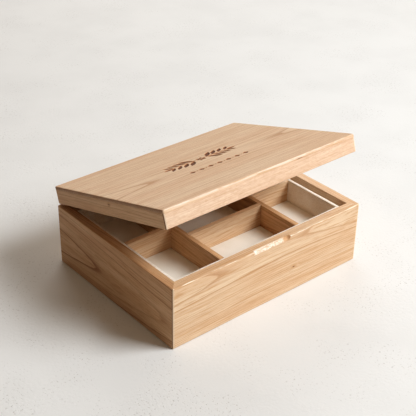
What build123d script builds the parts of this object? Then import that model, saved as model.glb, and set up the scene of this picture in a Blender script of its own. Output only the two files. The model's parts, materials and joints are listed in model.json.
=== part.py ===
from build123d import *

import os
from collections import namedtuple
from math import cos, radians, sin, tan

# Oak keepsake box: a mitred box, a hinged hollow lid and a lift-out tray of six lined cells.
# The origin is the centre of the box's underside. +X runs along the front, the front faces -Y, +Z is up.
# All sizes are in millimetres.

# Box
box_width = 300
box_depth = 233
box_height = 83
wall = 12
corner_round = 2.5
foot_ease = 1
rim_round = 1
rim_inner_ease = 0.4

# Bottom panel, let into a rebate around the walls and flush with their underside
bottom_thickness = 6
bottom_rebate = 5
bottom_lining_thickness = 1.5

# Thumb scoop, run with a round cutter along the middle of the front wall's outer rim edge
scoop_length = 58
scoop_radius = 5
scoop_axis_forward = 1.5
scoop_axis_above = 0.3

# Lid: four mitred rails under a thin top board
lid_thickness = 22.5
lid_board_thickness = 4.3
lid_rail_thickness = 10
lid_side_inset = 2
lid_front_inset = 2
lid_corner_round = 2.5
lid_top_round = 1.5
lid_rim_ease = 0.5
lid_seam_ease = 0.2
lid_rest_angle = 17.3

# Butt hinges, let into the box's back wall and the lid's back rail
joint_gap = 0.8
hinge_inset = 55
hinge_length = 32
hinge_leaf_width = 8.5
hinge_leaf_thickness = 1
hinge_setback = 2.75
knuckle_count = 3
knuckle_radius = 2.2
knuckle_gap = 0.3
pin_radius = 1

# Countersunk screws, two to a leaf, with heads as deep as the leaf is thick
screw_spacing = 17
screw_head_angle = 90
screw_shank_radius = 1.1
screw_length = 9

# Tray: covered boards around oak dividers, standing in the front left corner of the box
tray_top_below_rim = 3
tray_height = 35
tray_wall = 5
tray_base_thickness = 3.5
tray_edge_ease = 1
tray_play = 1
finger_gap_side = 8
finger_gap_back = 9.5

# Dividers and cells
divider_thickness = 6.5
divider_top_round = 0.6
housing_depth = 1.5
side_cell_width = 65
front_cell_depth_left = 91
front_cell_depth_centre = 61
front_cell_depth_right = 86
pad_thickness = 1.5
lining_ease = 0.5

# Strips that carry the tray
rail_width = 18
rail_height = 8
rail_round = 0.8

# Clearances
joinery_clearance = 0.1
lining_clearance = 0.3
running_clearance = 0.05

# Derived sizes of the box
inner_width = box_width - 2 * wall
inner_depth = box_depth - 2 * wall
rebate_width = inner_width + 2 * bottom_rebate
rebate_depth = inner_depth + 2 * bottom_rebate

# Derived sizes of the lid
lid_width = box_width - 2 * lid_side_inset
lid_depth = box_depth - lid_front_inset
lid_rail_height = lid_thickness - lid_board_thickness
hinge_point = Vector(0, box_depth / 2 + hinge_setback, box_height + joint_gap / 2)
lid_up = Vector(0, sin(radians(lid_rest_angle)), cos(radians(lid_rest_angle)))

# The lid's plane is centred on its underside and tilts with it. Both leaf planes have their origin
# on the pin's axis, +Y to the front of the box and +Z into the wood that the leaf is screwed to.
hinge_plane = Plane(hinge_point, x_dir=(1, 0, 0), z_dir=lid_up)
lid_centre = hinge_plane.from_local_coords(Vector(0, -hinge_setback - lid_depth / 2, joint_gap / 2))
lid_plane = Plane(lid_centre, x_dir=(1, 0, 0), z_dir=lid_up)
box_leaf_plane = Plane(hinge_point, x_dir=(1, 0, 0), z_dir=(0, 0, -1))
lid_leaf_plane = Plane(hinge_point, x_dir=(-1, 0, 0), z_dir=lid_up)

# Derived sizes of the tray, with the tray's plane centred on its underside
tray_width = inner_width - tray_play - finger_gap_side
tray_depth = inner_depth - tray_play - finger_gap_back
tray_underside = box_height - tray_top_below_rim - tray_height
tray_centre = ((tray_play - finger_gap_side) / 2, (tray_play - finger_gap_back) / 2)
tray_plane = Plane((*tray_centre, tray_underside))
tray_floor_plane = tray_plane.offset(tray_base_thickness)
tray_wall_height = tray_height - tray_base_thickness
tray_inner_width = tray_width - 2 * tray_wall
tray_inner_depth = tray_depth - 2 * tray_wall

# Columns of the tray, on the tray's plane: the left face of each, its width and the front face of its
# cross divider
Column = namedtuple("Column", "left width divider_front")
tray_inner_left = -tray_inner_width / 2
tray_inner_front = -tray_inner_depth / 2
centre_cell_width = tray_inner_width - 2 * (side_cell_width + divider_thickness)
right_cell_left = tray_inner_width / 2 - side_cell_width
columns = {
    "left": Column(tray_inner_left, side_cell_width, tray_inner_front + front_cell_depth_left),
    "centre": Column(-centre_cell_width / 2, centre_cell_width, tray_inner_front + front_cell_depth_centre),
    "right": Column(right_cell_left, side_cell_width, tray_inner_front + front_cell_depth_right),
}


def mitre_wedge(width, depth, side):
    # A wedge between the two 45 degree mitres of one side of a rectangle, open past both its faces.
    reach = min(width, depth) / 4
    corners = [(-1, -1), (1, -1), (1, 1), (-1, 1)]
    first = ["front", "right", "back", "left"].index(side)
    ends = [corners[first], corners[(first + 1) % 4]]
    outer = [(x * (width / 2 + reach), y * (depth / 2 + reach)) for x, y in ends]
    inner = [(x * (width / 2 - reach), y * (depth / 2 - reach)) for x, y in reversed(ends)]
    return outer + inner


def mitred_side(ring, plane, width, depth, height, side):
    # One side of a four-sided ring, from mitre to mitre.
    with BuildPart() as piece:
        add(ring.part)
        with BuildSketch(plane):
            Polygon(*mitre_wedge(width, depth, side), align=None)
        extrude(amount=height, mode=Mode.INTERSECT)
    return piece.part


def save(piece, name):
    piece.part.label = name
    export_step(piece.part, f"parts/{name}.step")


os.makedirs("parts", exist_ok=True)

# The box's four walls are cut from one ring, so that its rounded edges and rebate run on across the mitres.
with BuildPart() as carcass:
    with BuildSketch():
        RectangleRounded(box_width, box_depth, corner_round)
        Rectangle(inner_width, inner_depth, mode=Mode.SUBTRACT)
    extrude(amount=box_height)
    fillet(carcass.faces().sort_by(Axis.Z)[-1].outer_wire().edges(), rim_round)
    chamfer(carcass.faces().sort_by(Axis.Z)[-1].inner_wires()[0].edges(), rim_inner_ease)
    chamfer(carcass.faces().sort_by(Axis.Z)[0].outer_wire().edges(), foot_ease)
    with BuildSketch():
        Rectangle(rebate_width, rebate_depth)
    extrude(amount=bottom_thickness, mode=Mode.SUBTRACT)

# Front wall, with the thumb scoop: a round groove with ball ends
scoop_axis = (-box_depth / 2 - scoop_axis_forward, box_height + scoop_axis_above)
scoop_straight = scoop_length - 2 * scoop_radius
with BuildPart() as front_wall:
    add(mitred_side(carcass, Plane.XY, box_width, box_depth, box_height, "front"))
    with Locations((0, *scoop_axis)):
        Cylinder(scoop_radius, scoop_straight, rotation=(0, 90, 0), mode=Mode.SUBTRACT)
    with Locations((-scoop_straight / 2, *scoop_axis), (scoop_straight / 2, *scoop_axis)):
        Sphere(scoop_radius, mode=Mode.SUBTRACT)
save(front_wall, "front_wall")

for side in ("left", "right"):
    with BuildPart() as side_wall:
        add(mitred_side(carcass, Plane.XY, box_width, box_depth, box_height, side))
    save(side_wall, f"{side}_wall")

# Hinge parts are drawn on a leaf plane, at the places of the two hinges along the pin's axis.
hinge_places = {"left": hinge_inset - box_width / 2, "right": box_width / 2 - hinge_inset}
screw_head_radius = screw_shank_radius + hinge_leaf_thickness * tan(radians(screw_head_angle / 2))
knuckle_pitch = hinge_length / knuckle_count
knuckle_length = knuckle_pitch - knuckle_gap
leaf_middle = hinge_setback + hinge_leaf_width / 2
screw_points = [
    Location((place + step, leaf_middle, joint_gap / 2), (180, 0, 0))
    for place in hinge_places.values()
    for step in (-screw_spacing / 2, screw_spacing / 2)
]


def hinge_seats(plane):
    # The mortises of the two leaves, open at the back, and the holes for their screws.
    seat_length = hinge_length + 2 * joinery_clearance
    seat_width = 2 * (hinge_leaf_width + joinery_clearance)
    with BuildPart(plane) as seats:
        with BuildSketch(plane.offset(joint_gap / 2)):
            with Locations(*[(place, hinge_setback) for place in hinge_places.values()]):
                Rectangle(seat_length, seat_width)
        extrude(amount=hinge_leaf_thickness)
        with Locations(*screw_points):
            Hole(screw_shank_radius + running_clearance, screw_length + joinery_clearance, mode=Mode.ADD)
    return seats.part


def hinge_leaf(plane, place, first_knuckle):
    # A leaf with every other knuckle, bored for the pin and countersunk for two screws.
    knuckles = [
        (place + (index + 0.5) * knuckle_pitch - hinge_length / 2, 0)
        for index in range(first_knuckle, knuckle_count, 2)
    ]
    with BuildPart(plane) as leaf:
        with BuildSketch(plane.offset(joint_gap / 2)):
            with Locations((place, leaf_middle)):
                Rectangle(hinge_length, hinge_leaf_width)
            with Locations(*knuckles):
                Rectangle(knuckle_length, leaf_middle, align=(Align.CENTER, Align.MIN))
        extrude(amount=hinge_leaf_thickness)
        with Locations(*knuckles):
            Cylinder(knuckle_radius, knuckle_length, rotation=(0, 90, 0))
        with Locations((place, 0)):
            Cylinder(pin_radius + running_clearance, hinge_length, rotation=(0, 90, 0), mode=Mode.SUBTRACT)
        with Locations(*screw_points):
            CounterSinkHole(
                screw_shank_radius + running_clearance,
                screw_head_radius + running_clearance,
                depth=hinge_leaf_thickness,
                counter_sink_angle=screw_head_angle,
            )
    return leaf.part


# One screw, head up at the origin, and its two groups: one in the back wall, one in the lid's back rail
with BuildPart() as screw:
    with BuildSketch(Plane.XZ):
        Polygon(
            (0, 0),
            (screw_head_radius, 0),
            (screw_shank_radius, -hinge_leaf_thickness),
            (screw_shank_radius, -screw_length),
            (0, -screw_length),
            align=None,
        )
    revolve(axis=Axis.Z)

for name, plane in (("box_leaf_screws", box_leaf_plane), ("lid_leaf_screws", lid_leaf_plane)):
    with BuildPart(plane) as screws:
        with Locations(*screw_points):
            add(screw.part)
    save(screws, name)

with BuildPart() as back_wall:
    add(mitred_side(carcass, Plane.XY, box_width, box_depth, box_height, "back"))
    add(hinge_seats(box_leaf_plane), mode=Mode.SUBTRACT)
save(back_wall, "back_wall")

# The box leaf has the outer knuckles and holds the pin; the lid leaf turns between them.
for side, place in hinge_places.items():
    with BuildPart() as box_leaf:
        add(hinge_leaf(box_leaf_plane, place, 0))
    save(box_leaf, f"hinge_{side}_box_leaf")
    with BuildPart() as lid_leaf:
        add(hinge_leaf(lid_leaf_plane, -place, 1))
    save(lid_leaf, f"hinge_{side}_lid_leaf")
    with BuildPart(box_leaf_plane) as hinge_pin:
        with Locations((place, 0)):
            Cylinder(pin_radius, hinge_length, rotation=(0, 90, 0))
    save(hinge_pin, f"hinge_{side}_pin")

# Bottom panel, its lining and the strips that carry the tray
with BuildPart() as bottom_panel:
    with BuildSketch():
        Rectangle(rebate_width - 2 * joinery_clearance, rebate_depth - 2 * joinery_clearance)
    extrude(amount=bottom_thickness)
save(bottom_panel, "bottom_panel")

with BuildPart() as bottom_lining:
    with BuildSketch(Plane.XY.offset(bottom_thickness)):
        Rectangle(inner_width - 2 * lining_clearance, inner_depth - 2 * lining_clearance)
    extrude(amount=bottom_lining_thickness)
    chamfer(bottom_lining.faces().sort_by(Axis.Z)[-1].edges(), lining_ease)
save(bottom_lining, "bottom_lining")

for side, sign, free_edges in (("left", -1, -1), ("right", 1, 0)):
    with BuildPart() as tray_rail:
        with BuildSketch(Plane.XY.offset(tray_underside - rail_height)):
            with Locations((sign * (inner_width - rail_width) / 2, 0)):
                Rectangle(rail_width, inner_depth - 2 * joinery_clearance)
        extrude(amount=rail_height)
        fillet(tray_rail.edges().filter_by(Axis.Y).group_by(Axis.X)[free_edges], rail_round)
    save(tray_rail, f"tray_rail_{side}")

# Lid: its rails are cut from one ring, like the box's walls, and the board lies on them.
lid_axis = Axis(lid_centre, lid_up)
with BuildPart() as lid_frame:
    with BuildSketch(lid_plane):
        RectangleRounded(lid_width, lid_depth, lid_corner_round)
        Rectangle(lid_width - 2 * lid_rail_thickness, lid_depth - 2 * lid_rail_thickness, mode=Mode.SUBTRACT)
    extrude(amount=lid_rail_height)
    chamfer(lid_frame.faces().sort_by(lid_axis)[0].outer_wire().edges(), lid_rim_ease)
    chamfer(lid_frame.faces().sort_by(lid_axis)[0].inner_wires()[0].edges(), rim_inner_ease)
    chamfer(lid_frame.faces().sort_by(lid_axis)[-1].outer_wire().edges(), lid_seam_ease)

for side in ("front", "back", "left", "right"):
    with BuildPart() as lid_rail:
        add(mitred_side(lid_frame, lid_plane, lid_width, lid_depth, lid_rail_height, side))
        if side == "back":
            add(hinge_seats(lid_leaf_plane), mode=Mode.SUBTRACT)
    save(lid_rail, f"lid_{side}_rail")

with BuildPart() as lid_top_board:
    with BuildSketch(lid_plane.offset(lid_rail_height)):
        RectangleRounded(lid_width, lid_depth, lid_corner_round)
    extrude(amount=lid_board_thickness)
    fillet(lid_top_board.faces().sort_by(lid_axis)[-1].edges(), lid_top_round)
    chamfer(lid_top_board.faces().sort_by(lid_axis)[0].edges(), lid_seam_ease)
save(lid_top_board, "lid_top_board")

# Tray base and its four covered walls
with BuildPart() as tray_base:
    with BuildSketch(tray_plane):
        Rectangle(tray_width, tray_depth)
    extrude(amount=tray_base_thickness)
    chamfer(tray_base.faces().sort_by(Axis.Z)[0].edges(), tray_edge_ease)
save(tray_base, "tray_base")

with BuildPart() as tray_ring:
    with BuildSketch(tray_floor_plane):
        Rectangle(tray_width, tray_depth)
        Rectangle(tray_inner_width, tray_inner_depth, mode=Mode.SUBTRACT)
    extrude(amount=tray_wall_height)
    chamfer(tray_ring.faces().sort_by(Axis.Z)[-1].edges(), tray_edge_ease)

for side in ("front", "back", "left", "right"):
    with BuildPart() as tray_side:
        add(mitred_side(tray_ring, tray_floor_plane, tray_width, tray_depth, tray_wall_height, side))
    save(tray_side, f"tray_{side}_wall")

# Long dividers, grooved from the top down for the ends of the cross dividers
housing_width = divider_thickness + 2 * joinery_clearance
for side, grooved in (("left", ("left", "centre")), ("right", ("centre", "right"))):
    divider_left = columns[grooved[1]].left - divider_thickness
    faces = {grooved[0]: (divider_left, Align.MIN), grooved[1]: (divider_left + divider_thickness, Align.MAX)}
    with BuildPart() as tray_divider:
        with BuildSketch(tray_floor_plane):
            with Locations((divider_left, 0)):
                Rectangle(divider_thickness, tray_inner_depth, align=(Align.MIN, Align.CENTER))
        extrude(amount=tray_wall_height)
        fillet(tray_divider.edges().group_by(Axis.Z)[-1].filter_by(Axis.Y), divider_top_round)
        with BuildSketch(tray_floor_plane):
            for column, (face_x, inward) in faces.items():
                with Locations((face_x, columns[column].divider_front - joinery_clearance)):
                    Rectangle(housing_depth, housing_width, align=(inward, Align.MIN))
        extrude(amount=tray_wall_height, mode=Mode.SUBTRACT)
    save(tray_divider, f"tray_divider_{side}")

# Cross dividers, one to a column, with each end that meets a long divider tongued into its groove
tongue = housing_depth - joinery_clearance
for name, (left_tongues, right_tongues) in {"left": (0, 1), "centre": (1, 1), "right": (1, 0)}.items():
    column = columns[name]
    divider_length = column.width + (left_tongues + right_tongues) * tongue
    with BuildPart() as cross_divider:
        with BuildSketch(tray_floor_plane):
            with Locations((column.left - left_tongues * tongue, column.divider_front)):
                Rectangle(divider_length, divider_thickness, align=(Align.MIN, Align.MIN))
        extrude(amount=tray_wall_height)
        fillet(cross_divider.edges().group_by(Axis.Z)[-1].filter_by(Axis.X), divider_top_round)
    save(cross_divider, f"cross_divider_{name}")

# A lining pad on the floor of each cell
for name, column in columns.items():
    divider_back = column.divider_front + divider_thickness
    rows = {"front": (tray_inner_front, column.divider_front), "back": (divider_back, -tray_inner_front)}
    for row, (front, back) in rows.items():
        with BuildPart() as cell_pad:
            with BuildSketch(tray_floor_plane):
                with Locations((column.left + column.width / 2, (front + back) / 2)):
                    Rectangle(column.width - 2 * lining_clearance, back - front - 2 * lining_clearance)
            extrude(amount=pad_thickness)
            chamfer(cell_pad.faces().sort_by(Axis.Z)[-1].edges(), lining_ease)
        save(cell_pad, f"cell_pad_{row}_{name}")
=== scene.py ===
import json
import math

import bpy
import numpy as np
from mathutils import Matrix, Vector


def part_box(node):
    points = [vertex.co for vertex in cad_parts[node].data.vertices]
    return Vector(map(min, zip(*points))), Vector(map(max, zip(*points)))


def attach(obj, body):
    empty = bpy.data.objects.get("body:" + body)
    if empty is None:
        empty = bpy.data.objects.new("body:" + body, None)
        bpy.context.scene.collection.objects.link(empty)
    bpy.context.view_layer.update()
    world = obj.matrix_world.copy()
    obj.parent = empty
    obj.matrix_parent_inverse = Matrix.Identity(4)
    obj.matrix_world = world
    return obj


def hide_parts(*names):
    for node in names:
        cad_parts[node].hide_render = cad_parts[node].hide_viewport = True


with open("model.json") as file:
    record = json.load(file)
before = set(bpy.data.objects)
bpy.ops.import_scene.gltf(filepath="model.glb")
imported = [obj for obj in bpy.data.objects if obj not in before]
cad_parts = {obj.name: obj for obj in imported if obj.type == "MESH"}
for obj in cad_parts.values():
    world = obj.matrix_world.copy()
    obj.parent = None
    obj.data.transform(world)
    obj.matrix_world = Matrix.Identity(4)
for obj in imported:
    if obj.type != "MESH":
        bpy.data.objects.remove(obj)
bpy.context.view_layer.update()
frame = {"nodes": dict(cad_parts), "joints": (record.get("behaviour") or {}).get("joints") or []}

millimetre = 0.001  # every size below is in millimetres, except for the floor, the lamps and the camera
print("stage: frame loaded,", len(frame["nodes"]), "nodes")


def nodeBox(node):
    # lowest and highest corner of a node, in millimetres
    return [np.array(corner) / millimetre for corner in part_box(node)]


def localBox(node, place):
    # the same in the frame that the matrix places, which may be tilted
    mesh = frame["nodes"][node].data
    points = np.empty(len(mesh.vertices) * 3)
    mesh.vertices.foreach_get("co", points)
    turned = np.array(place.inverted())
    points = (points.reshape(-1, 3) @ turned[:3, :3].T + turned[:3, 3]) / millimetre
    return points.min(0), points.max(0)


def placed(points, place):
    # points in millimetres of a local frame, as metres in the object's frame
    matrix = np.array(place)
    return (points * millimetre) @ matrix[:3, :3].T + matrix[:3, 3]


def makePiece(name, points, faces, body, finish, replaced, smoothAngle, marks=None):
    # marks are values at the points, which the finish reads by name
    mesh = bpy.data.meshes.new(name)
    mesh.from_pydata(points.tolist(), [], faces)
    mesh.validate()
    for markName, values in (marks or {}).items():
        mesh.attributes.new(markName, "FLOAT", "POINT").data.foreach_set("value", values.astype(np.float32))
    mesh.polygons.foreach_set("use_smooth", np.ones(len(mesh.polygons), bool))
    mesh.set_sharp_from_angle(angle=math.radians(smoothAngle))
    mesh.materials.append(finish)
    piece = bpy.data.objects.new(name, mesh)
    bpy.context.scene.collection.objects.link(piece)
    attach(piece, body)
    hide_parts(*replaced)
    return piece


def gridQuads(rows, columns, loop=False):
    # quads of a grid of points that is stored row by row; a loop also joins the last column to the first
    r, c = np.meshgrid(np.arange(rows - 1), np.arange(columns if loop else columns - 1), indexing="ij")
    after = (c + 1) % columns
    corners = [r * columns + c, r * columns + after, (r + 1) * columns + after, (r + 1) * columns + c]
    return np.stack(corners, -1).reshape(-1, 4)


def gridRim(rows, columns):
    # the points along the edge of such a grid, each once, in the turning sense of its quads
    ids = np.arange(rows * columns).reshape(rows, columns)
    return np.concatenate([ids[0, :-1], ids[:-1, -1], ids[-1, :0:-1], ids[:0:-1, 0]])


def closedByRings(grid, rows, columns, rim, rings):
    # A grid made into a closed form: rings of points hang below its rim, one after the other, and the last
    # is shut by one flat face. Comes back as the points, the quads and that last face.
    order = np.concatenate([rim[None], len(grid) + np.arange(len(rings) * len(rim)).reshape(len(rings), -1)])
    after = np.roll(order, -1, axis=1)
    skirt = np.stack([order[:-1], order[1:], after[1:], after[:-1]], -1).reshape(-1, 4)
    return np.concatenate([grid, *rings]), np.concatenate([gridQuads(rows, columns), skirt]), order[-1][::-1]


def smoothStep(low, high, values):
    t = np.clip((values - low) / (high - low), 0, 1)
    return t * t * (3 - 2 * t)


def smoothNoise(x, y, seed, octaves=3):
    # a sum of sine waves in seeded directions, each octave twice as fine and half as high, from -1 to 1
    rng = np.random.default_rng(seed)
    total = np.zeros(np.broadcast(x, y).shape)
    for octave in range(octaves):
        for wave in range(4):
            angle, phase = rng.uniform(0, 2 * math.pi, 2)
            pace = 2 ** octave * rng.uniform(0.7, 1.3)
            total = total + np.sin(pace * (x * math.cos(angle) + y * math.sin(angle)) + phase) / 2 ** octave
    return total / 7


class Wire:
    # one socket of a material's nodes, with the sums that are written on it
    def __init__(self, tree, socket=None):
        self.tree = tree
        self.socket = socket

    def node(self, kind, settings=None, sockets=None, out=0):
        made = self.tree.nodes.new(kind)
        for name, value in (settings or {}).items():
            if name == "stops":
                fillRamp(made.color_ramp, value)
            else:
                setattr(made, name, value)
        for name, value in (sockets or {}).items():
            if isinstance(value, Wire):
                self.tree.links.new(value.socket, made.inputs[name])
            else:
                made.inputs[name].default_value = value
        return Wire(self.tree, made.outputs[out])

    def math(self, operation, *others):
        return self.node("ShaderNodeMath", {"operation": operation}, dict(enumerate((self, *others))))

    def reflected(self, operation, first):
        return self.node("ShaderNodeMath", {"operation": operation}, {0: first, 1: self})

    def __add__(self, other):
        return self.math("ADD", other)

    def __sub__(self, other):
        return self.math("SUBTRACT", other)

    def __rsub__(self, other):
        return self.reflected("SUBTRACT", other)

    def __mul__(self, other):
        return self.math("MULTIPLY", other)

    def __truediv__(self, other):
        return self.math("DIVIDE", other)

    def __rtruediv__(self, other):
        return self.reflected("DIVIDE", other)

    def __pow__(self, other):
        return self.math("POWER", other)

    def __rpow__(self, other):
        return self.reflected("POWER", other)

    __radd__ = __add__
    __rmul__ = __mul__

    def vector(self, operation, other):
        return self.node("ShaderNodeVectorMath", {"operation": operation}, {0: self, 1: other})

    def stretched(self, factors):
        return self.vector("MULTIPLY", factors)

    def parts(self):
        return [self.node("ShaderNodeSeparateXYZ", None, {0: self}, axis) for axis in range(3)]

    def step(self, low, high):
        # 0 under the low value, 1 over the high one, smooth between
        settings = {"interpolation_type": "SMOOTHSTEP"}
        return self.node("ShaderNodeMapRange", settings, {"Value": self, "From Min": low, "From Max": high})

    def noise(self, scale=1, detail=2, roughness=0.5, out=0):
        sockets = {"Vector": self, "Scale": scale, "Detail": detail, "Roughness": roughness}
        return self.node("ShaderNodeTexNoise", None, sockets, out)

    def between(self, low, high):
        # the colour low where this share is 0 and high where it is 1
        return self.node("ShaderNodeMix", {"data_type": "RGBA"}, {0: self, 6: low, 7: high}, 2)


def fillRamp(ramp, stops):
    while len(ramp.elements) < len(stops):
        ramp.elements.new(1)
    for element, (position, value) in zip(ramp.elements, stops):
        element.position = position
        element.color = (value, value, value, 1)


def hypotenuse(u, v):
    return (u * u + v * v) ** 0.5


def colour(red, green, blue):
    # linear colour with alpha, from the 0 to 255 values that a paint chart gives
    channels = np.array([red, green, blue]) / 255
    linear = np.where(channels <= 0.04045, channels / 12.92, ((channels + 0.055) / 1.055) ** 2.4)
    return (*linear.tolist(), 1)


def newFinish(name):
    material = bpy.data.materials.new(name)
    material.use_nodes = True
    material.node_tree.nodes.clear()
    return material, Wire(material.node_tree)


def pointOf(wire):
    # the point on the object, in millimetres
    return wire.node("ShaderNodeTexCoord", None, None, "Object").stretched((1000, 1000, 1000))


def closeFinish(wire, constants, varying, height, bumpSize, bumpStrength):
    # the shader itself: constants are set on its sockets, varying values are linked to them
    bump = {"Height": height, "Strength": bumpStrength, "Distance": bumpSize * millimetre}
    normal = wire.node("ShaderNodeBump", None, bump)
    shader = wire.node("ShaderNodeBsdfPrincipled", None, {**constants, **varying, "Normal": normal})
    output = wire.tree.nodes.new("ShaderNodeOutputMaterial")
    wire.tree.links.new(shader.socket, output.inputs["Surface"])


oakTones = {
    "box": {
        "pale": (235, 208, 176), "warm": (224, 185, 146), "mid": (205, 156, 109), "ring": (184, 124, 74),
        "deep": (160, 99, 55),
    },
    "lid": {
        "pale": (236, 208, 176), "warm": (226, 185, 148), "mid": (205, 160, 119), "ring": (181, 124, 81),
        "deep": (164, 106, 65),
    },
    # side: darker copies of the tones, painted shade for the boards on the side that faces away from the key lamp
    "side": {
        "pale": (216, 179, 140), "warm": (199, 153, 112), "mid": (178, 130, 90), "ring": (144, 94, 58),
        "deep": (112, 69, 41),
    },
    # divider: darker, more saturated copies of the tones, painted shade for the long dividers; the tray's rails and
    # base share them
    "divider": {
        "pale": (229, 190, 147), "warm": (207, 158, 113), "mid": (184, 133, 90), "ring": (158, 104, 62),
        "deep": (108, 65, 35),
    },
    "lidFront": {
        "pale": (238, 213, 189), "warm": (227, 191, 160), "mid": (209, 167, 131), "ring": (186, 131, 92),
        "deep": (170, 114, 76),
    },
}

# How fine each noise of the oak is, in cells per millimetre along, across and through the board
oakNoises = {
    "slow": (0.0045, 0.012, 0.012), "ripple": (0.012, 0.07, 0.07), "streak": (0.004, 0.06, 0.06),
    "fibre": (0.02, 1.0, 1.0), "pore": (0.09, 3.1, 3.1), "ray": (0.2, 0.42, 0.42), "knot": (0.12, 0.3, 0.3),
    # the highlight patches noise breaks up the painted highlights on the edges
    "highlightPatches": (0.05, 0.6, 0.6), "chatter": (0.24, 0.5, 0.5), "char": (0.5, 1.2, 1.2),
}
seedAway = (731.7, 57.3, 91.1)  # how far each seed moves through the noises
unevenRings = {"pace": 0.11, "perSeed": 5.1, "reach": 4}
thinLines = {"along": 0.012, "outward": 0.85, "sideways": 0.35, "perSeed": 3.7}

# How dark a growth ring is, from its start at 0 to its end at 1
ringStops = [(0, 0.2), (0.02, 1), (0.07, 0.75), (0.13, 0.25), (0.3, 0.06), (0.98, 0), (1, 0.2)]


def grainPlace(centre, along, tilt):
    # the frame of a board: its first axis runs with the grain, turned about +Z and tilted about +X
    turn = Matrix.Rotation(math.radians(90 if along == "y" else 0), 4, "Z")
    return Matrix.Translation(centre) @ Matrix.Rotation(tilt, 4, "X") @ turn


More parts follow.
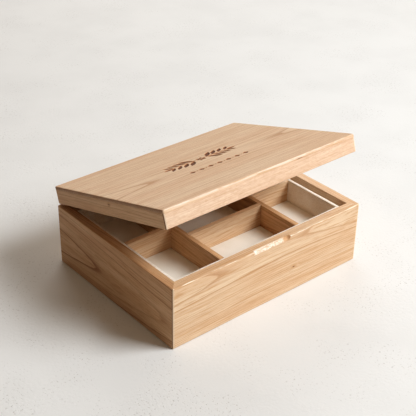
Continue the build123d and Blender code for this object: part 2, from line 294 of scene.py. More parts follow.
def oakFinish(
    name, place, tones, pith, bow=(0, 0, 0), taper=0.02, pitch=2.4, sway=(3, 3), ripple=1.6, rings=0.85, lines=0.5,
    fleck=0, seed=0, ringShift=0, knot=None, scoop=None, paintedCornerLine=None, browHighlight=None, burnt=None,
):
    # Growth rings round a pith that lies beside the board and bows along it: ring number = (distance from
    # the pith, swayed by a slow noise and rippled by a finer one, plus a taper along the grain, plus what
    # makes the rings uneven) / ring width. Each ring starts dark and porous and pales. Thin lines follow the
    # rings, fibres and pores run straight along the grain. A knot pushes the rings out round it.
    material, wire = newFinish(name)
    tone = {key: colour(*value) for key, value in oakTones[tones].items()}
    mapping = {
        "Vector": wire.node("ShaderNodeTexCoord", None, None, "Object"),
        "Location": place.to_translation(),
        "Rotation": place.to_euler("XYZ"),
        "Scale": (millimetre, millimetre, millimetre),
    }
    point = wire.node("ShaderNodeMapping", {"vector_type": "TEXTURE"}, mapping)
    shifted = point.vector("ADD", tuple(seed * away for away in seedAway))
    along, across, through = point.parts()

    def field(kind, **settings):
        return shifted.stretched(oakNoises[kind]).noise(**settings)

    slow = field("slow", detail=1, out=1).parts()
    curve = ((along - bow[2]) * 0.01) ** 2
    distance = hypotenuse(
        (across - pith[0]) - curve * bow[0] + (slow[0] - 0.5) * (2 * sway[0]),
        (through - pith[1]) - curve * bow[1] + (slow[1] - 0.5) * (2 * sway[1]),
    )
    distance = distance + along * taper + field("ripple") * ripple
    if knot:
        swirl = field("knot", detail=1, out=1).parts()
        offKnot = hypotenuse(
            (along - knot["along"]) / knot["length"] + (swirl[0] - 0.5) * knot["swirl"],
            (through - knot["through"]) / knot["height"] + (swirl[1] - 0.5) * knot["swirl"],
        )
        distance = distance + (1 - offKnot.step(0.4, knot["reach"])) * knot["push"]

    line = {"W": distance * unevenRings["pace"] + seed * unevenRings["perSeed"], "Scale": 1, "Detail": 1}
    uneven = wire.node("ShaderNodeTexNoise", {"noise_dimensions": "1D"}, line)
    ring = (distance + uneven * unevenRings["reach"]) / pitch
    ringNumber = ring.math("FLOOR")
    lot = {"W": ringNumber + (seed + ringShift)}
    ringTone = wire.node("ShaderNodeTexWhiteNoise", {"noise_dimensions": "1D"}, lot)
    early = wire.node("ShaderNodeValToRGB", {"stops": ringStops}, {"Fac": ring - ringNumber})
    early = early * (0.25 + 0.75 * ringTone)
    ringSpace = wire.node("ShaderNodeCombineXYZ", None, {
        0: along * thinLines["along"],
        1: distance * thinLines["outward"],
        2: (across + through) * thinLines["sideways"] + seed * thinLines["perSeed"],
    })
    thinLine = ringSpace.noise(roughness=0.6)
    fibre = field("fibre", detail=3, roughness=0.6)
    pores = field("pore", detail=1).step(0.52, 0.66) * (0.3 + 0.7 * early)

    shade = (field("streak").step(0.36, 0.64) * 0.6).between(tone["pale"], tone["warm"])
    shade = (early * rings).between(shade, tone["ring"])
    shade = (thinLine.step(0.48, 0.66) * lines).between(shade, tone["mid"])
    shade = (fibre.step(0.44, 0.68) * 0.4).between(shade, tone["mid"])
    shade = (pores * 0.5).between(shade, tone["deep"])
    rough = 0.46 + 0.1 * early + 0.12 * pores
    height = fibre * 0.35 - pores * 0.9 - early * 0.25
    if fleck:  # the rays' short marks on a board cut near the pith
        shade = (field("ray").step(0.46, 0.62) * fleck).between(shade, tone["mid"])
    if knot:  # a soft halo and a dark heart
        shade = ((1 - offKnot.step(0.8, 4)) * 0.8).between(shade, tone["mid"])
        shade = ((1 - offKnot.step(0.35, 1.25)) * 0.9).between(shade, colour(*knot["shade"]))
    if paintedCornerLine:  # painted light at the rounded corners of the board's two ends: a pale painted highlight on lit boards, a dark painted shade line on shaded ones
        atEnd = along.math("ABSOLUTE").step(paintedCornerLine["start"], paintedCornerLine["start"] + 0.7)
        shade = (atEnd * paintedCornerLine["share"]).between(shade, colour(*paintedCornerLine["shade"]))
    if browHighlight:  # a painted highlight in patches along the outer top edge
        atBrow = through.step(browHighlight["from"], browHighlight["from"] + 0.5) * (0 - across).step(4.6, 5.4)
        paintedHighlight = atBrow * field("highlightPatches").step(0.4, 0.56)
        shade = (paintedHighlight * browHighlight["share"]).between(shade, colour(*browHighlight["shade"]))
    if scoop:  # inside the cutter's round: raw wood with chatter marks, then painted shade towards the end that faces away from the light
        chatter = field("chatter", detail=3)
        reach = hypotenuse(across - scoop["across"], through - scoop["through"]) + (chatter - 0.5) * 2.4
        inside = 1 - reach.step(scoop["radius"] + 0.05, scoop["radius"] + 0.3)
        inside = inside * (1 - along.math("ABSOLUTE").step(scoop["half"] - 0.4, scoop["half"] + 0.4))
        late = (along + (chatter - 0.5) * 12).step(scoop["rawTo"] - 1, scoop["rawTo"] + 1)
        raw = inside * (0.2 + 0.8 * chatter.step(0.44, 0.54)) * (1 - late)
        shade = raw.between(shade, colour(*scoop["raw"]))
        shade = (inside * late * 0.8).between(shade, colour(*scoop["burr"]))
        rough = rough + inside * 0.15
        height = height + inside * chatter * 2.5
    if burnt:  # the marks on the mesh: carving, end grain and a painted highlight along the front edge
        burn, endGrain, worn = (
            wire.node("ShaderNodeAttribute", {"attribute_name": mark}, None, "Fac")
            for mark in ("burn", "endGrain", "worn")
        )
        shade = (burn.step(0.02, 0.3) * 0.85).between(shade, colour(*burnt["scorch"]))
        shade = (burn.step(0.25, 0.8) * (0.75 + 0.25 * field("char"))).between(shade, colour(*burnt["char"]))
        shade = (endGrain * 0.8).between(shade, colour(*burnt["endGrain"]))
        paintedHighlight = worn * field("highlightPatches").step(0.36, 0.56)
        shade = (paintedHighlight * 0.55).between(shade, colour(*burnt["worn"]))
        rough = rough + endGrain * 0.1 + burn * 0.1
    closeFinish(wire, {"Specular IOR Level": 0.35}, {"Base Color": shade, "Roughness": rough}, height, 0.12, 0.6)
    return material


lidHinge = next(joint for joint in frame["joints"] if joint["name"] == "lid_hinge")
lidTilt = math.radians(lidHinge["range_deg"][0])  # negative: the front of the lid is up
lidPlace = Matrix.Translation(Vector(lidHinge["pos_m"])) @ Matrix.Rotation(lidTilt, 4, "X")

# Where the pith lies is given across and through the board, from its middle. A bow is how far the pith
# wanders across and through in 100 mm from the place along the board that comes last.
oakPlans = {
    "front_wall": {
        "along": "x", "tones": "box", "seed": 2, "ringShift": 31, "pith": (43.75, 34), "bow": (-1.5, 0, -10),
        "taper": 0, "pitch": 2.6, "sway": (1, 4), "ripple": 0.8, "rings": 1.0, "lines": 0.7,
        "knot": {
            "along": 37.9, "through": -6.4, "length": 2.1, "height": 1.0, "push": 2.2, "reach": 6, "swirl": 0.9,
            "shade": (112, 62, 32),
        },
        # painted highlights: a pale line down the corners and pale patches along the outer top edge
        "paintedCornerLine": {"start": 147.3, "shade": (255, 236, 208), "share": 0.5},
        "browHighlight": {"from": 40.5, "shade": (255, 243, 222), "share": 0.75},
        # the scoop: pale raw wood with chatter marks, then painted shade at its far end
        "scoop": {
            "across": -7.5, "through": 41.8, "radius": 5, "half": 29, "rawTo": 19,
            "raw": (255, 240, 226), "burr": (208, 158, 112),
        },
    },
    "back_wall": {"along": "x", "tones": "box", "pith": (-48, -20), "bow": (3.5, 0, 30), "taper": 0.01, "pitch": 2.5},
    # painted shade: the darker side tones and a dark line at both corners stand in for the shade on this wall
    "left_wall": {
        "along": "y", "tones": "side", "seed": 203, "pith": (-48, -8.5), "taper": -0.03, "pitch": 4.6, "sway": (1, 4),
        "ripple": 0.8, "rings": 1.0, "lines": 0.6,
        "paintedCornerLine": {"start": 114.4, "shade": (120, 78, 46), "share": 0.7},
    },
    "right_wall": {"along": "y", "tones": "box", "pith": (46, 12), "taper": 0.035, "pitch": 2.4},
    "bottom_panel": {"along": "x", "tones": "box", "pith": (20, 90), "pitch": 2.6},
    "tray_rail_left": {"along": "y", "tones": "divider", "pith": (30, 40)},
    "tray_rail_right": {"along": "y", "tones": "divider", "pith": (-30, 40)},
    "lid_front_rail": {
        "along": "x", "tones": "lidFront", "pith": (90, 60), "taper": 0.01, "pitch": 1.6, "rings": 0.4, "lines": 0.35,
        "fleck": 0.3, "tilted": True,
        # a pale painted highlight down the corners
        "paintedCornerLine": {"start": 145.4, "shade": (255, 236, 210), "share": 0.5},
    },
    "lid_back_rail": {"along": "x", "tones": "lid", "pith": (-80, 70), "pitch": 1.8, "fleck": 0.3, "tilted": True},
    # painted shade: the darker side tones and a dark line at both corners stand in for the shade on this rail
    "lid_left_rail": {
        "along": "y", "tones": "side", "pith": (-60, 45), "pitch": 2.0, "rings": 0.5, "lines": 0.4, "tilted": True,
        "knot": {
            "along": -7, "through": 5.5, "length": 1.3, "height": 0.8, "push": 0.8, "reach": 5, "swirl": 0.5,
            "shade": (86, 44, 28),
        },
        "paintedCornerLine": {"start": 113.4, "shade": (112, 70, 42), "share": 0.75},
    },
    "lid_right_rail": {"along": "y", "tones": "lid", "pith": (60, 50), "pitch": 2.0, "tilted": True},
    "tray_base": {"along": "x", "tones": "divider", "pith": (60, 120)},
    # the long dividers take the darker divider tones as painted shade
    "tray_divider_left": {"along": "y", "tones": "divider", "pith": (70, 30), "pitch": 1.7},
    "tray_divider_right": {"along": "y", "tones": "divider", "pith": (-75, -20), "pitch": 1.7},
    "cross_divider_left": {"along": "x", "tones": "box", "pith": (60, 35), "pitch": 1.8},
    "cross_divider_centre": {"along": "x", "tones": "box", "pith": (-80, 20), "pitch": 1.6},
    "cross_divider_right": {"along": "x", "tones": "box", "pith": (70, -30), "pitch": 1.7},
}


def dress(node, finish):
    frame["nodes"][node].data.materials.clear()
    frame["nodes"][node].data.materials.append(finish)


def dressOak(node, plan):
    low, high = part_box(node)
    place = grainPlace((low + high) / 2, plan["along"], lidTilt if plan.get("tilted") else 0)
    choices = {key: value for key, value in plan.items() if key not in ("along", "tilted")}
    dress(node, oakFinish(f"oak_{node}", place, **choices))


for number, (node, plan) in enumerate(oakPlans.items()):
    dressOak(node, {"seed": number + 1, **plan})
print("stage: oak on", len(oakPlans), "pieces")


# The lid's top board: fine lines carry its carved ornament, wide ones the rest
lidBoard = {
    "cornerRadius": 2.5, "topRound": 1.5, "seamEase": 0.35, "roundSteps": 5,
    "wideStep": 4.0, "fineStep": 0.4, "fineHalf": (61, 33), "fineCentre": (3, -3),
    # where the end grain starts in the rounding, and where the painted highlight of the front edge lies and fades
    "endGrainTurn": (0.5, 0.9), "endGrainFade": (0.9, 1.4), "frontHighlightTurn": (0.2, 0.8), "frontHighlightFade": (1.8, 2.8),
}
lidBoardOak = {
    "tones": "lid", "seed": 31, "pith": (-10, -61.3), "bow": (0, 1.2, 15), "taper": 0, "pitch": 3.8, "sway": (5, 1),
    "ripple": 0.8, "rings": 1.0, "lines": 0.6,
    "knot": {
        "along": 54, "through": -1.2, "length": 6, "height": 0.5, "push": 0, "reach": 2, "swirl": 0.4,
        "shade": (120, 74, 52),
    },
    # the last colour is a painted highlight along the front edge
    "burnt": {"scorch": (176, 108, 58), "char": (98, 52, 22), "endGrain": (140, 96, 66), "worn": (255, 238, 224)},
}
ornament = {
    "centre": (3, 9), "halfLength": 57, "depth": 1.0, "slope": 0.95,
    "stemWidth": 1.3, "stemRise": 2.2, "stemEnd": 8,
    "leafCount": 4, "leafLength": 21, "leafWidth": 7.4, "leafAngle": 47, "leafGap": 0.9,
    "firstRoot": 4, "lastRoot": 17, "largestLeaf": 1.04, "leafShrink": 0.36,
    "tip": 7.5, "tipLength": 15, "tipWidth": 5.2,
    "flower": 7.4, "flowerGap": 1.2, "petals": 6, "petalDip": 0.24, "eye": 1.5,
    "rowCentre": (1, -31), "rowHalf": 42, "rowCount": 7, "lozengeLength": 5.4, "lozengeHeight": 4.2, "dot": 1.3,
}


def insideLeaf(x, y, centreX, centreY, angle, length, width):
    # how far inside a leaf each point lies: the leaf is the overlap of two equal circles
    turned = math.radians(angle)
    dx, dy = x - centreX, y - centreY
    u = dx * math.cos(turned) + dy * math.sin(turned)
    v = dy * math.cos(turned) - dx * math.sin(turned)
    radius = (length ** 2 + width ** 2) / (4 * width)
    return radius - np.hypot(u, np.abs(v) + radius - width / 2)


def insideSprigs(dx, dy):
    # two mirrored sprigs: the stem is one wave of a sine, with pairs of leaves that shrink towards its tip
    plan = ornament
    reach = plan["halfLength"]
    wave = math.pi / reach
    stem = plan["stemWidth"] * (1.15 - dx / reach) - np.abs(dy - plan["stemRise"] * np.sin(dx * wave))
    stem = np.minimum(stem, reach - plan["stemEnd"] - dx)
    inside = np.minimum(stem, dx - plan["flower"] - plan["flowerGap"])
    for leaf in range(plan["leafCount"]):
        share = (leaf + 0.6) / plan["leafCount"]
        rootX = plan["firstRoot"] + share * (reach - plan["lastRoot"])
        rootY = plan["stemRise"] * math.sin(rootX * wave)
        size = plan["largestLeaf"] - plan["leafShrink"] * share
        length, width = plan["leafLength"] * size, plan["leafWidth"] * size
        middle = length / 2 + plan["leafGap"]
        for angle in (plan["leafAngle"], -plan["leafAngle"]):
            leafX = rootX + middle * math.cos(math.radians(angle))
            leafY = rootY + middle * math.sin(math.radians(angle))
            inside = np.maximum(inside, insideLeaf(dx, dy, leafX, leafY, angle, length, width))
    tipX = reach - plan["tip"]
    tipY = plan["stemRise"] * math.sin(tipX * wave)
    return np.maximum(inside, insideLeaf(dx, dy, tipX, tipY, 0, plan["tipLength"], plan["tipWidth"]))


def insideFlower(dx, dy):
    # petals whose reach is a cosine of the angle, round an eye that stays whole
    plan = ornament
    span = np.hypot(dx, dy)
    petals = plan["flower"] * (1 - plan["petalDip"] + plan["petalDip"] * np.cos(plan["petals"] * np.arctan2(dy, dx)))
    return np.minimum(petals - span, span - plan["eye"])


def insideRow(rowX, rowY):
    # a row of lozenges at an even pace, with a dot half way between each two
    plan = ornament
    pace = 2 * plan["rowHalf"] / (plan["rowCount"] - 1)
    nearest = rowX - np.round(rowX / pace) * pace
    lozenge = (1 - np.abs(nearest) / plan["lozengeLength"] - np.abs(rowY) / plan["lozengeHeight"]) * 2
    dots = plan["dot"] - np.hypot(np.abs(np.abs(nearest) - pace / 2), rowY)
    return np.where(np.abs(rowX) < plan["rowHalf"] + pace / 4, np.maximum(lozenge, dots), -10)


def ornamentDepth(x, y):
    # Depth of the carving at each point: every form is cut as a V that deepens with the distance from its
    # edge, down to a flat floor.
    dx, dy = np.abs(x - ornament["centre"][0]), y - ornament["centre"][1]
    rowX, rowY = x - ornament["rowCentre"][0], y - ornament["rowCentre"][1]
    inside = np.maximum(np.maximum(insideSprigs(dx, dy), insideFlower(dx, dy)), insideRow(rowX, rowY))
    return np.clip(inside * ornament["slope"], 0, ornament["depth"])


def boardLines(half, fineHalf, fineCentre, corner):
    # grid lines across the board: fine over the carving, wide beside it, close in the corners' rounding
    fineLow, fineHigh = fineCentre - fineHalf, fineCentre + fineHalf
    edge = corner * np.array([0, 0.35, 0.7, 1])
    wideStep = lidBoard["wideStep"]
    lines = [
        -half + edge,
        np.linspace(-half + corner, fineLow, max(3, round((fineLow + half) / wideStep))),
        np.linspace(fineLow, fineHigh, round(2 * fineHalf / lidBoard["fineStep"])),
        np.linspace(fineHigh, half - corner, max(3, round((half - fineHigh) / wideStep))),
        half - edge[::-1],
    ]
    return np.unique(np.round(np.concatenate(lines), 5))


def slab(x, y, top, bottom, corner, roundSize, roundSteps, footEase, relief):
    # A closed slab over a grid of lines: a top that follows the relief, a rounded edge carried out along
    # the outline's normals, straight sides, an eased foot and a flat underside. The last value is the
    # number of points of the top.
    halfX, halfY = x[-1], y[-1]
    gx, gy = np.meshgrid(x, y, indexing="xy")
    ex, ey = np.maximum(np.abs(gx) - (halfX - corner), 0), np.maximum(np.abs(gy) - (halfY - corner), 0)
    far, span = np.maximum(ex, ey), np.hypot(ex, ey)
    squeeze = np.where((ex > 0) & (ey > 0), far / np.where(span > 0, span, 1), 1)  # square corners made round
    px = np.sign(gx) * (np.minimum(np.abs(gx), halfX - corner) + ex * squeeze)
    py = np.sign(gy) * (np.minimum(np.abs(gy), halfY - corner) + ey * squeeze)
    grid = np.stack([px, py, top + relief(px, py)], -1).reshape(-1, 3)
    rim = gridRim(len(y), len(x))
    outline = grid[rim, :2]
    flat = np.array([halfX, halfY]) - corner
    normal = np.sign(outline) * np.maximum(np.abs(outline) - flat + 1e-6, 0)
    normal /= np.linalg.norm(normal, axis=1, keepdims=True)
    turns = np.arange(1, roundSteps + 1) / roundSteps * math.pi / 2
    levels = [(roundSize * math.sin(t), top - roundSize * (1 - math.cos(t))) for t in turns]
    levels += [(roundSize, bottom + footEase), (roundSize - footEase, bottom)]
    rings = [np.column_stack([outline + normal * out, np.full(len(rim), level)]) for out, level in levels]
    points, quads, underside = closedByRings(grid, len(y), len(x), rim, rings)
    return points, quads.tolist() + [underside.tolist()], len(grid)


def makeLidBoard():
    low, high = localBox("lid_top_board", lidPlace)
    middle = (low + high) / 2
    inset = lidBoard["topRound"]
    corner = lidBoard["cornerRadius"] - inset
    half = (high - low) / 2 - inset
    x, y = [
        boardLines(half[axis], lidBoard["fineHalf"][axis], lidBoard["fineCentre"][axis], corner) for axis in (0, 1)
    ]
    points, faces, gridCount = slab(
        x, y, high[2], low[2], corner, inset, lidBoard["roundSteps"], lidBoard["seamEase"],
        lambda px, py: -ornamentDepth(px, py),
    )
    deep = high[2] - points[:, 2]
    burn = np.zeros(len(points))
    burn[:gridCount] = deep[:gridCount] / ornament["depth"]
    # the ends turn to end grain in the rounding, and the front edge's rounding takes a painted highlight
    turn, fade = inset * np.array([lidBoard["endGrainTurn"], lidBoard["endGrainFade"]])
    endGrain = smoothStep(*(half[0] + turn), np.abs(points[:, 0])) * (1 - 0.35 * smoothStep(*fade, deep))
    turn = half[1] + inset * np.array(lidBoard["frontHighlightTurn"])
    worn = smoothStep(*turn, -points[:, 1]) * (1 - smoothStep(*lidBoard["frontHighlightFade"], deep))
    points[:, :2] += middle[:2]
    place = lidPlace @ Matrix.Translation(Vector((0, middle[1], middle[2])) * millimetre)
    finish = oakFinish("oak_lid_top_board", grainPlace(place.to_translation(), "x", lidTilt), **lidBoardOak)
    makePiece(
        "lid_board_carved", placed(points, lidPlace), faces, "lid", finish,
        ["lid_top_board"], 30, {"burn": burn, "endGrain": endGrain, "worn": worn},
    )


makeLidBoard()
print("stage: lid board carved")


# The tray's outer boards, covered in cotton
trayCloth = {
    "roundness": 1.1, "roundSteps": 5, "heightSteps": 7, "step": 3.0,
    "topWave": 0.3, "topWaveLength": 11, "sideWave": 0.14, "sideWaveLength": 17, "sideWaveHeight": 9,
    "pale": (250, 244, 234), "shade": (226, 210, 190), "thread": 0.55,
}


def clothFinish(name, plan):
    # a plain weave: two sets of threads at right angles, each a sine across its own run, with slubs
    material, wire = newFinish(name)
    point = pointOf(wire)
    x, y, z = point.parts()
    turn = 2 * math.pi / plan["thread"]
    weave = 0.5 + 0.25 * (((x + y) * turn).math("SINE") + (z * turn).math("SINE"))
    slub = point.stretched((0.35, 0.35, 1.6)).noise(detail=3)
    cloud = point.noise(scale=0.045)
    share = slub.step(0.4, 0.7) * 0.5 + cloud.step(0.35, 0.7) * 0.35
    shade = share.between(colour(*plan["pale"]), colour(*plan["shade"]))
    constants = {"Sheen Weight": 0.25, "Sheen Roughness": 0.5, "Specular IOR Level": 0.2}
    varying = {"Base Color": shade, "Roughness": 0.82 + 0.12 * slub}
    closeFinish(wire, constants, varying, weave + slub, 0.12, 0.5)
    return material


clothCover = clothFinish("cotton_cover", trayCloth)
trayLow, trayHigh = nodeBox("tray_base")


def trayWallProfile(thickness, height):
    # outline of a covered board, from the outer foot over the rounded top to the inner foot
    r, steps = trayCloth["roundness"], trayCloth["heightSteps"]
    turns = np.linspace(0, math.pi / 2, trayCloth["roundSteps"])
    outer = np.column_stack([np.zeros(steps), np.linspace(0, height - r, steps)])
    overOuter = np.column_stack([r - r * np.cos(turns), height - r + r * np.sin(turns)])[1:]
    ridge = [[thickness / 2, height]]
    overInner = overOuter[::-1] * (-1, 1) + (thickness, 0)
    inner = outer[::-1] + (thickness, 0)
    return np.concatenate([outer, overOuter, ridge, overInner, inner])


def makeTrayWall(side, seed):
    # The profile is carried from mitre to mitre: a point at depth c from the outer face starts c in from
    # the corner. Slow waves lift the top and push the cloth in and out.
    plan = trayCloth
    node = f"tray_{side}_wall"
    low, high = nodeBox(node)
    along = 0 if side in ("front", "back") else 1
    across = 1 - along
    inward = 1 if side in ("front", "left") else -1
    outerFace = (trayLow if inward == 1 else trayHigh)[across]
    thickness, wallHeight = (high - low)[across], (high - low)[2]
    halfLength = (trayHigh - trayLow)[along] / 2
    profile = trayWallProfile(thickness, wallHeight)
    stations = np.linspace(-1, 1, round(2 * halfLength / plan["step"]))
    s, c = np.meshgrid(stations, profile[:, 0], indexing="ij")
    h = np.broadcast_to(profile[:, 1], s.shape)
    run = s * (halfLength - c)
    waveTop = smoothNoise(run / plan["topWaveLength"], run * 0, seed) * plan["topWave"]
    waveSide = smoothNoise(run / plan["sideWaveLength"], h / plan["sideWaveHeight"], seed + 1) * plan["sideWave"]
    lift = smoothStep(0.6, 1, h / wallHeight)
    free = (1 - np.abs(s) ** 12) * smoothStep(0, 0.2, h / wallHeight)  # the cloth is held at its foot and ends
    outward = np.where(c > thickness / 2, 1, -1)
    points = np.empty((*s.shape, 3))
    points[..., along] = (trayLow + trayHigh)[along] / 2 + run
    points[..., across] = outerFace + inward * (c + outward * (waveSide - plan["sideWave"]) * free)
    points[..., 2] = low[2] + h + (waveTop - plan["topWave"]) * lift
    rows, columns = s.shape
    quads = gridQuads(rows, columns, loop=True)
    ends = np.stack([np.arange(columns), np.arange((rows - 1) * columns, rows * columns)[::-1]])
    if (along == 0) == (inward == 1):
        quads, ends = quads[:, ::-1], ends[:, ::-1]
    makePiece(
        f"covered_{side}_wall", points.reshape(-1, 3) * millimetre, quads.tolist() + ends.tolist(), "tray",
        clothCover, [node], 50,
    )


for number, side in enumerate(("front", "back", "left", "right")):
    makeTrayWall(side, 40 + number)
print("stage: tray walls covered")


# The felt pads of the cells and the lining under the tray
felt = {
    "pale": (244, 239, 229), "shade": (231, 222, 207), "step": 4.0, "corner": 0.8, "edgeRound": 0.6, "roundSteps": 4,
    "footEase": 0.15, "foot": 0.2, "crown": 0.22, "dent": 0.06, "dentLength": 14,
}


def feltFinish(name, plan):
    # short nap: a fine noise for the fibres and a slow one for the brushing
    material, wire = newFinish(name)
    point = pointOf(wire)
    nap = point.noise(scale=1.9, detail=4, roughness=0.7)
    brushing = point.stretched((1, 0.45, 1)).noise(scale=0.05)
    share = nap.step(0.35, 0.7) * 0.45 + brushing.step(0.35, 0.7) * 0.4
    shade = share.between(colour(*plan["pale"]), colour(*plan["shade"]))
    constants = {"Sheen Weight": 0.3, "Sheen Roughness": 0.6, "Specular IOR Level": 0.15}
    closeFinish(wire, constants, {"Base Color": shade, "Roughness": 0.86 + 0.1 * nap}, nap, 0.18, 0.5)
    return material


feltCover = feltFinish("cream_felt", felt)


def padLines(half):
    # grid lines across a pad: even, with one more beside each edge
    corner = felt["corner"]
    beside = corner * np.array([0, 0.4])
    even = np.linspace(-half + corner, half - corner, max(6, round(2 * half / felt["step"])))
    return np.concatenate([-half + beside, even, half - beside[::-1]])


def makePad(node, body, seed):
    # A thin pad, a little crowned and never quite flat: the crown falls with the fourth power of the
    # distance from the middle, along both sides.
    low, high = nodeBox(node)
    middle = (low + high) / 2
    half = (high - low) / 2 - felt["edgeRound"]

    def relief(px, py):
        fall = (1 - (px / half[0]) ** 4) * (1 - (py / half[1]) ** 4)
        dents = smoothNoise(px / felt["dentLength"], py / felt["dentLength"], seed, 2) * felt["dent"]
        return (fall - 1) * felt["crown"] + dents * fall

    points, faces, gridCount = slab(
        padLines(half[0]), padLines(half[1]), high[2], low[2], felt["corner"], felt["edgeRound"],
        felt["roundSteps"], felt["footEase"], relief,
    )
    edge = points[gridCount:, 2]
    points[gridCount:, 2] = np.where(edge > low[2] + felt["foot"], edge - felt["crown"], edge)
    points[:, :2] += middle[:2]
    piece = makePiece(f"felt_{node}", points * millimetre, faces, body, feltCover, [node], 60)


padNodes = [f"cell_pad_{row}_{column}" for column in ("left", "centre", "right") for row in ("front", "back")]
for number, node in enumerate(padNodes):
    makePad(node, "tray", 60 + number)
makePad("bottom_lining", "box", 70)
print("stage: felt laid")


brassTones = {"bright": (206, 176, 120), "tarnished": (150, 118, 72)}


def brassFinish(name, plan):
    # satin brass with fine brushing along the pin's axis and a slight tarnish
    material, wire = newFinish(name)
    point = pointOf(wire)
    brushing = point.stretched((0.08, 3, 3)).noise(detail=3)
    tarnish = point.noise(scale=0.35, detail=3)
    shade = (tarnish.step(0.45, 0.75) * 0.6).between(colour(*plan["bright"]), colour(*plan["tarnished"]))
    varying = {"Base Color": shade, "Roughness": 0.26 + 0.14 * brushing + 0.12 * tarnish}
    closeFinish(wire, {"Metallic": 1.0}, varying, brushing, 0.03, 0.4)
    return material


brass = brassFinish("satin_brass", brassTones)
hingeNodes = [f"hinge_{side}_{part}" for side in ("left", "right") for part in ("box_leaf", "lid_leaf", "pin")]
for node in [*hingeNodes, "box_leaf_screws", "lid_leaf_screws"]:
    dress(node, brass)


# Countersunk screws with slots, placed from the hinge's axis
screwPlan = {
    "hingeX": 95, "spread": 8.5, "toFront": 7.0, "faceOffset": 0.4,
    "headRadius": 2.1, "shankRadius": 1.1, "headDepth": 1.0, "length": 9.0,
    "slotHalf": 0.32, "slotReach": 1.6, "slotDepth": 0.5, "dome": 0.05, "slotWall": 0.02,
}


def screwForm(plan):
    # The head is a stack of chords: y = R sin(pi t / 2), x = s sqrt(R^2 - y^2), with the slot let into a
    # slightly domed top. Rings below it make the cone, the shank and its flat end.
    radius, wall = plan["headRadius"], plan["slotWall"]
    slot, reach = plan["slotHalf"] / radius, plan["slotReach"] / radius
    rise = np.sin(np.linspace(0, 0.47 * math.pi, 9))
    levels = np.concatenate([-rise[:0:-1], [-slot - wall, -slot, slot, slot + wall], rise[1:]])
    levels = np.unique(np.round(levels, 4)) * radius
    shares = np.array([-1, -0.9, -reach - 0.03, -reach, -0.4, 0, 0.4, reach, reach + 0.03, 0.9, 1])
    y, share = np.meshgrid(levels, shares, indexing="ij")
    x = share * np.sqrt(radius ** 2 - y ** 2)
    cut = (np.abs(y) < plan["slotHalf"] + 1e-3) & (np.abs(share) < reach + 1e-3)
    z = -plan["dome"] * (x ** 2 + y ** 2) / radius ** 2 - plan["slotDepth"] * cut
    grid = np.stack([x, y, z], -1).reshape(-1, 3)
    rim = gridRim(*x.shape)
    around = grid[rim, :2] / np.linalg.norm(grid[rim, :2], axis=1, keepdims=True) * plan["shankRadius"]
    rings = [np.column_stack([around, np.full(len(rim), -level)]) for level in (plan["headDepth"], plan["length"])]
    return closedByRings(grid, *x.shape, rim, rings)


def makeScrews(node, body, place, facing):
    # four screws in one piece, each with its slot turned its own way; facing -1 has the heads downwards
    plan = screwPlan
    rng = np.random.default_rng(90 + facing)
    form, quads, end = screwForm(plan)
    points, faces = [], []
    for hinge in (-1, 1):
        for side in (-1, 1):
            turn = rng.uniform(0, math.pi)
            cos, sin = math.cos(turn), math.sin(turn)
            screw = form @ np.array([[cos, sin, 0], [-sin, cos, 0], [0, 0, 1]]) * (1, facing, facing)
            seat = (hinge * plan["hingeX"] + side * plan["spread"], -plan["toFront"], -facing * plan["faceOffset"])
            before = len(points) * len(form)
            points.append(screw + seat)
            faces += (quads + before).tolist() + [(end + before).tolist()]
    name = node.replace("screws", "slotted_screws")
    makePiece(name, placed(np.concatenate(points), place), faces, body, brass, [node], 30)


makeScrews("box_leaf_screws", "box", Matrix.Translation(Vector(lidHinge["pos_m"])), 1)
makeScrews("lid_leaf_screws", "lid", lidPlace, -1)
print("stage: brass on the hinges")


# The studio, in metres
floorPlan = {"reach": 2.3, "sides": 96, "pale": (233, 233, 232), "shade": (229, 229, 228), "pit": (190, 186, 182)}


def makeFloor():
    # trowelled plaster on a wide disc: a slow noise for the tone, a finer one for the grain, and small pits
    material, wire = newFinish("pale_plaster")
    point = wire.node("ShaderNodeTexCoord", None, None, "Object")
    trowel = point.noise(scale=9, detail=4)
    grit = point.noise(scale=240, detail=3) * (0.35 + 0.9 * point.noise(scale=11).step(0.42, 0.62))
    pits = point.noise(scale=340).step(0.6, 0.7) * point.noise(scale=14).step(0.44, 0.64)
    shade = trowel.step(0.35, 0.7).between(colour(*floorPlan["pale"]), colour(*floorPlan["shade"]))
    shade = (pits * 0.55).between(shade, colour(*floorPlan["pit"]))
    height = trowel * 0.35 + grit * 0.9 - pits * 0.8
    closeFinish(wire, {"Roughness": 0.75}, {"Base Color": shade}, height, 0.8, 0.35)
    turns = np.linspace(0, 2 * math.pi, floorPlan["sides"], endpoint=False)
    edge = np.column_stack([np.cos(turns), np.sin(turns), 0 * turns]) * floorPlan["reach"]
    mesh = bpy.data.meshes.new("floor")
    mesh.from_pydata(edge.tolist(), [], [list(range(len(edge)))])
    mesh.materials.append(material)
    floor = bpy.data.objects.new("floor", mesh)
    bpy.context.scene.collection.objects.link(floor)


lamps = {
    "key": {"place": (1.43, -1.6, 1.96), "size": 1.5, "power": 82, "tint": (0.94, 0.976, 1.0)},
    "back": {"place": (1.07, 1.72, 1.35), "size": 1.6, "power": 14, "tint": (1.0, 0.99, 0.975)},
}
lampTarget = (0, 0, 0.06)


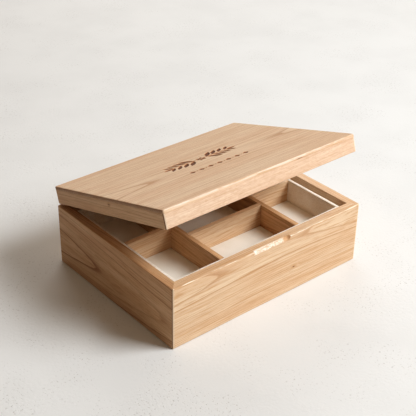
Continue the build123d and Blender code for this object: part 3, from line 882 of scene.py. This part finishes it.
def makeLamp(name, plan):
    # a square lamp that faces the middle of the box
    light = bpy.data.lights.new(name, "AREA")
    light.size = plan["size"]
    light.energy = plan["power"]
    light.color = plan["tint"]
    place = Vector(plan["place"])
    facing = (Vector(lampTarget) - place).to_track_quat("-Z", "Y").to_matrix().to_4x4()
    lamp = bpy.data.objects.new(name, light)
    lamp.matrix_world = Matrix.Translation(place) @ facing
    bpy.context.scene.collection.objects.link(lamp)


skyPlan = {
    "horizon": (0.56, 0.545, 0.52, 1), "low": (0.078, 0.059, 0.042, 1), "high": (0.236, 0.187, 0.138, 1),
    "fadeFrom": 0.0, "fadeTo": 0.06, "lowTop": 0.15, "highFrom": 0.85,
}


def makeSky():
    # pale below and along the horizon, dim above it and lighter towards the ceiling
    world = bpy.data.worlds.new("studio")
    bpy.context.scene.world = world
    world.use_nodes = True
    wire = Wire(world.node_tree)
    height = wire.node("ShaderNodeTexCoord", None, None, "Generated").parts()[2]
    shade = height.step(skyPlan["fadeFrom"], skyPlan["fadeTo"]).between(skyPlan["horizon"], skyPlan["low"])
    shade = height.step(skyPlan["lowTop"], skyPlan["highFrom"]).between(shade, skyPlan["high"])
    world.node_tree.links.new(shade.socket, world.node_tree.nodes["Background"].inputs["Color"])
    bpy.context.scene.view_settings.view_transform = "Standard"
    bpy.context.scene.view_settings.look = "Medium High Contrast"


view = {"place": (-0.6887, -0.8075, 0.7084), "yaw": -40.368, "pitch": 30.717, "roll": 1.036, "lens": 85}


def makeCamera():
    # the camera looks along its yaw and pitch, then rolls about that line
    yaw, pitch, roll = (math.radians(view[key]) for key in ("yaw", "pitch", "roll"))
    forward = Vector((-math.sin(yaw) * math.cos(pitch), math.cos(yaw) * math.cos(pitch), -math.sin(pitch)))
    right = Vector((math.cos(yaw), math.sin(yaw), 0))
    down = forward.cross(right)
    rolledRight = right * math.cos(roll) - down * math.sin(roll)
    rolledDown = right * math.sin(roll) + down * math.cos(roll)
    cameraData = bpy.data.cameras.new("camera")
    cameraData.lens = view["lens"]
    camera = bpy.data.objects.new("camera", cameraData)
    axes = Matrix((rolledRight, -rolledDown, -forward)).transposed().to_4x4()
    camera.matrix_world = Matrix.Translation(Vector(view["place"])) @ axes
    bpy.context.scene.collection.objects.link(camera)
    bpy.context.scene.camera = camera


makeFloor()
for lampName, plan in lamps.items():
    makeLamp(lampName, plan)
makeSky()
makeCamera()
print("stage: floor, light and camera")
